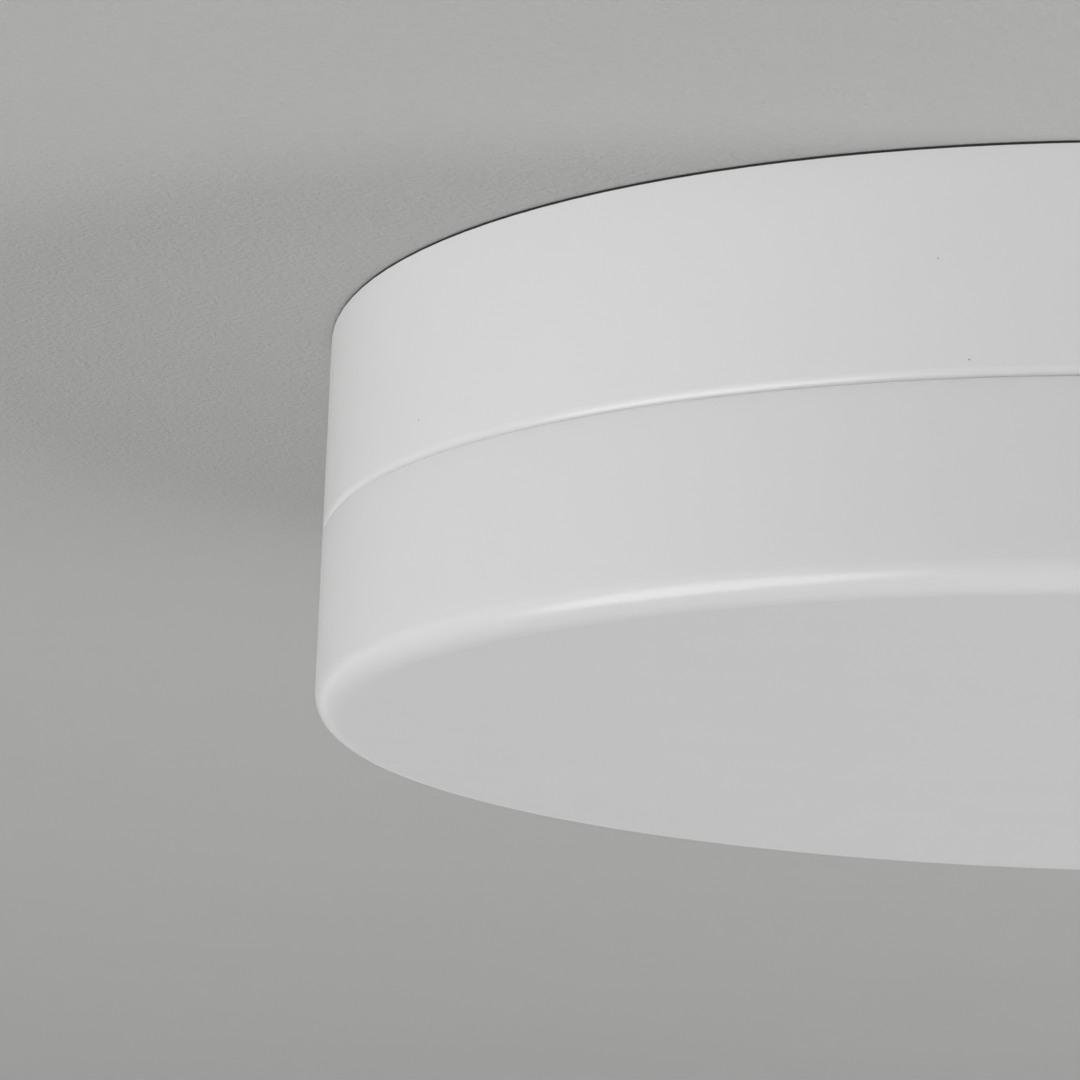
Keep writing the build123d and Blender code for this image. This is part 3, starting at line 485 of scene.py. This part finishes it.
def place_camera():
    ahead = Vector((
        -math.sin(CAMERA_YAW) * math.cos(CAMERA_PITCH),
        math.cos(CAMERA_YAW) * math.cos(CAMERA_PITCH),
        math.sin(CAMERA_PITCH),
    ))
    right = Vector((math.cos(CAMERA_YAW), math.sin(CAMERA_YAW), 0.0))
    up = right.cross(ahead)
    turned_right = math.cos(CAMERA_ROLL) * right + math.sin(CAMERA_ROLL) * up
    turned_up = turned_right.cross(ahead)
    data = bpy.data.cameras.new("camera")
    data.sensor_width = SENSOR_WIDTH
    data.lens = FOCAL_PIXELS / FRAME_PIXELS * SENSOR_WIDTH
    data.clip_start, data.clip_end = 0.01, 100.0
    camera = bpy.data.objects.new("camera", data)
    scene.collection.objects.link(camera)
    turn = Matrix((turned_right, turned_up, -ahead)).transposed()
    camera.matrix_world = Matrix.Translation((0.0, -CAMERA_BACK, -CAMERA_DROP)) @ turn.to_4x4()
    scene.camera = camera


# ---------------------------------------------------------------- surroundings and light
def stage_piece(name, start, end):
    """A flat disc or ring of the stage, which faces down where its outline runs outward."""
    obj = turned(name, [straight(start, end)])
    return obj


def ceiling_paint():
    """Pale stippled paint, with painted shade dark over the lamp for the gap above its rim, and clear
    from above so that the back shows.
    """
    s = Shader("ceiling_paint")
    colour = (0.58, 0.58, 0.573)
    base = s.mix(s.noise(8.0, 3.0), shade(colour, 0.98), shade(colour, 1.02))
    # painted shade: near black where the lamp covers the ceiling, so the gap between the rim and the
    # ceiling shows as a shadow line
    clear_of_painted_gap_shade = s.span(polar(s)[0], OUTER_RADIUS - PAINTED_GAP_SHADE_EDGE, OUTER_RADIUS)
    base = s.mix(clear_of_painted_gap_shade, (0.065, 0.065, 0.065), base)
    parts = s.add("ShaderNodeSeparateXYZ")
    s.link(s.place, parts.inputs[0])
    in_focus = s.span(parts.outputs[1], *STIPPLE_SPAN, 1.0, 0.0)
    height = s.math("MULTIPLY", s.noise(STIPPLE_SCALE, 3.0, 0.6), in_focus)
    s.finish(Base_Color=base, Roughness=0.85, Normal=s.bump(height, STIPPLE_DEPTH))
    clear = s.add("ShaderNodeBsdfTransparent")
    sides = s.add("ShaderNodeMixShader")
    s.link(s.add("ShaderNodeNewGeometry").outputs["Backfacing"], sides.inputs[0])
    s.link(s.bsdf.outputs["BSDF"], sides.inputs[1])
    s.link(clear.outputs["BSDF"], sides.inputs[2])
    s.link(sides.outputs["Shader"], s.output.inputs["Surface"])
    return s.material


def floor_paint():
    s = Shader("floor_paint")
    base = s.mix(s.noise(3.0, 3.0), (0.68, 0.68, 0.68), (0.72, 0.72, 0.72))
    return s.finish(Base_Color=base, Roughness=0.8)


def light_world():
    """An even pale surround; the camera, gloss and glass see the background's own colour."""
    world = bpy.data.worlds.new("surround")
    scene.world = world
    world.use_nodes = True
    tree = world.node_tree
    tree.nodes.clear()
    output = tree.nodes.new("ShaderNodeOutputWorld")
    mix = tree.nodes.new("ShaderNodeMixShader")
    lit = tree.nodes.new("ShaderNodeBackground")
    lit.inputs["Color"].default_value = (*WORLD_COLOUR, 1.0)
    lit.inputs["Strength"].default_value = WORLD_LEVEL
    seen = tree.nodes.new("ShaderNodeBackground")
    seen.inputs["Color"].default_value = (*BACKGROUND, 1.0)
    seen.inputs["Strength"].default_value = 1.0
    path = tree.nodes.new("ShaderNodeLightPath")
    rays = path.outputs["Is Camera Ray"]
    for name in ("Is Glossy Ray", "Is Transmission Ray"):
        either = tree.nodes.new("ShaderNodeMath")
        either.operation = "MAXIMUM"
        tree.links.new(rays, either.inputs[0])
        tree.links.new(path.outputs[name], either.inputs[1])
        rays = either.outputs[0]
    tree.links.new(rays, mix.inputs[0])
    tree.links.new(lit.outputs[0], mix.inputs[1])
    tree.links.new(seen.outputs[0], mix.inputs[2])
    tree.links.new(mix.outputs[0], output.inputs["Surface"])


def soft_lamp(name, azimuth, elevation, distance, width, height, power):
    data = bpy.data.lights.new(name, "AREA")
    data.shape = "ELLIPSE"
    data.size, data.size_y = width, height
    data.energy = power
    lamp = bpy.data.objects.new(name, data)
    scene.collection.objects.link(lamp)
    toward = direction(azimuth, elevation)
    turn = toward.to_track_quat("Z", "Y").to_matrix().to_4x4()
    lamp.matrix_world = Matrix.Translation(toward * distance) @ turn
    return lamp


def left_out(name, *objs):
    """A collection that keeps these objects out of a lamp's light or shadow."""
    group = bpy.data.collections.new(name)
    for obj in objs:
        group.objects.link(obj)
    for entry in group.collection_objects:
        entry.light_linking.link_state = "EXCLUDE"
    return group


def top_light(ceiling, floor):
    """Lights the back for the views from above, through the ceiling and the mask's hole."""
    mask = stage_piece("top_light_mask", (MASK_HOLE, MASK_LIFT), (CEILING_RADIUS, MASK_LIFT))
    mask.visible_camera = mask.visible_diffuse = False
    mask.visible_glossy = mask.visible_transmission = False
    data = bpy.data.lights.new("top_light", "SUN")
    data.energy = TOP_LEVEL
    data.angle = math.radians(TOP_SPREAD)
    lamp = bpy.data.objects.new("top_light", data)
    scene.collection.objects.link(lamp)
    lamp.rotation_euler = (-math.radians(TOP_TILT), 0.0, 0.0)
    lamp.light_linking.blocker_collection = left_out("passed_by_top_light", ceiling)
    lamp.light_linking.receiver_collection = left_out("not_lit_by_top_light", ceiling, floor)


def build_surroundings():
    ceiling = stage_piece("ceiling", (0.0, CEILING_LIFT), (CEILING_RADIUS, CEILING_LIFT))
    ceiling.data.materials.append(ceiling_paint())
    floor = stage_piece("floor", (FLOOR_RADIUS, -FLOOR_DROP), (0.0, -FLOOR_DROP))
    floor.data.materials.append(floor_paint())
    light_world()
    for settings in SOFT_LAMPS:
        soft_lamp(*settings).visible_glossy = False
    soft_lamp(*WINDOW_LAMP).visible_diffuse = False
    top_light(ceiling, floor)


# ---------------------------------------------------------------- the scene
dress_nodes()
turn_diffuser()
bend_clamp_springs()
place_camera()
build_surroundings()

scene.view_settings.view_transform = "Standard"
